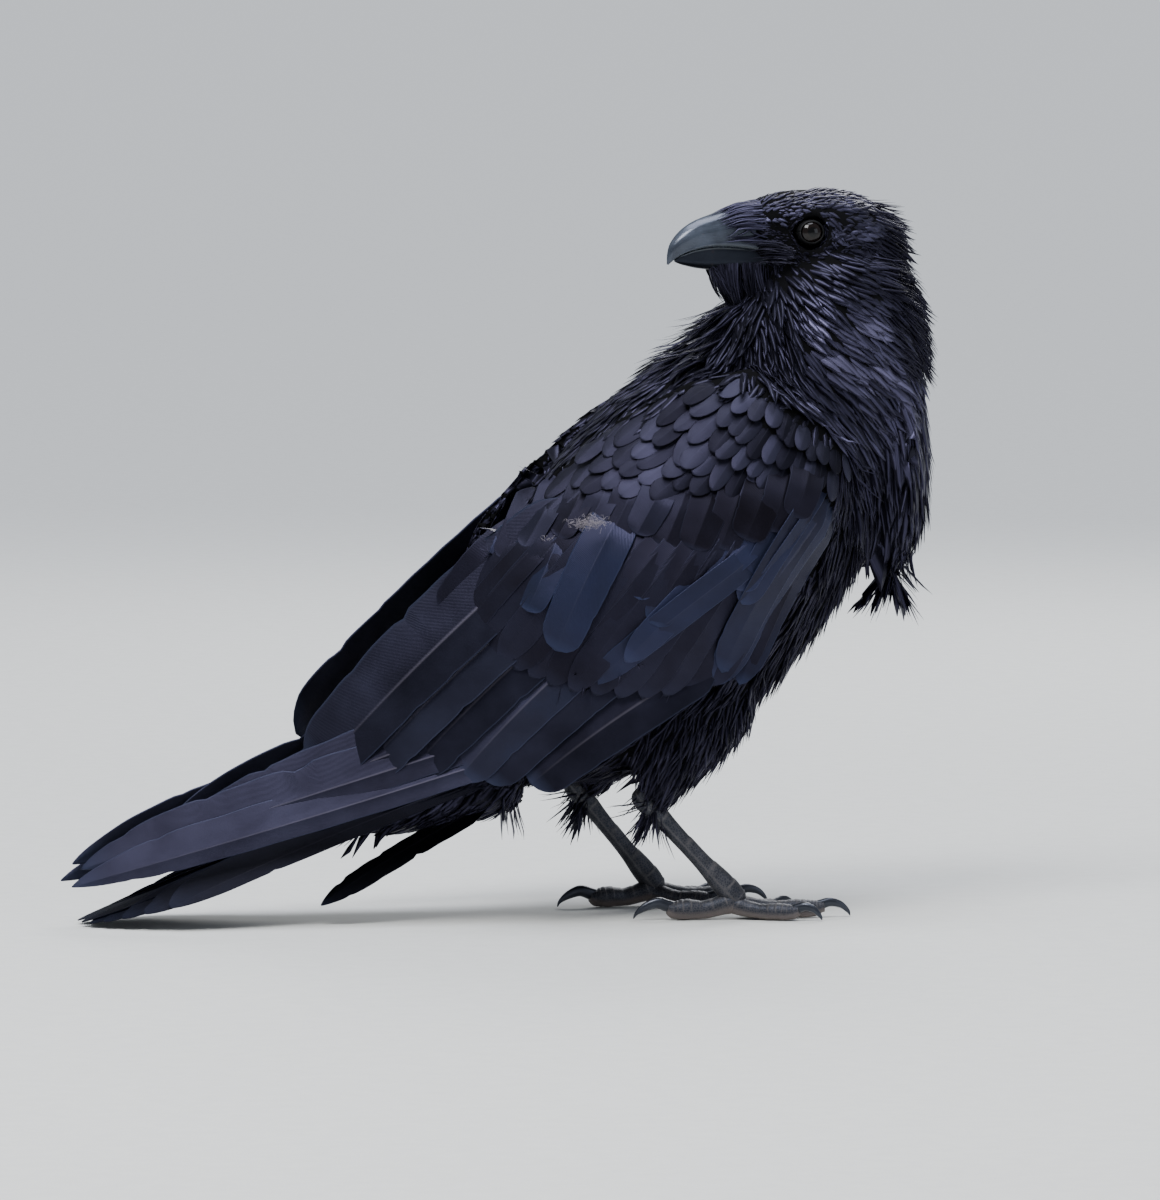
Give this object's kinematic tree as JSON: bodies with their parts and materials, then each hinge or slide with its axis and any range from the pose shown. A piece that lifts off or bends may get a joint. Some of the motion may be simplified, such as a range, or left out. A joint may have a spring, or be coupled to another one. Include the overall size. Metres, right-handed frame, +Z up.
{
  "type": "raven",
  "caption": "Life-size standing raven with a steep body, folded wings and a shaggy throat, its head turned back over the right shoulder.",
  "frame": {"origin": "on the floor, under the middle of the bird's bounding box", "axes": "+X the way the breast faces, +Y the bird's left side, +Z up from the floor it stands on"},
  "size_m": [0.4155, 0.1562, 0.3423],
  "materials": {
    "plumage": "black contour feathers with a faint violet-blue gloss",
    "flight_feather": "smooth blue-black flight feathers",
    "bill_horn": "slate-black horn, satin",
    "eye": "wet, very dark brown",
    "leg_scale": "dull black-grey scales",
    "claw_horn": "dark grey horn, satin"
  },
  "bodies": {
    "root": {"trunk": "plumage", "neck": "plumage", "head": "plumage", "tail_coverts": "plumage", "wing_left_shield": "plumage", "wing_right_shield": "plumage", "thigh_left": "plumage", "thigh_right": "plumage", "tail": "flight_feather", "tail_loose": "flight_feather", "wing_left_secondaries": "flight_feather", "wing_right_secondaries": "flight_feather", "wing_left_primaries": "flight_feather", "wing_right_primaries": "flight_feather", "bill_upper": "bill_horn", "bill_lower": "bill_horn", "eye_left": "eye", "eye_right": "eye", "tarsus_left": "leg_scale", "tarsus_right": "leg_scale", "foot_left": "leg_scale", "foot_right": "leg_scale", "claw_left_hind": "claw_horn", "claw_left_inner": "claw_horn", "claw_left_middle": "claw_horn", "claw_left_outer": "claw_horn", "claw_right_hind": "claw_horn", "claw_right_inner": "claw_horn", "claw_right_middle": "claw_horn", "claw_right_outer": "claw_horn"}
  },
  "joints": []
}
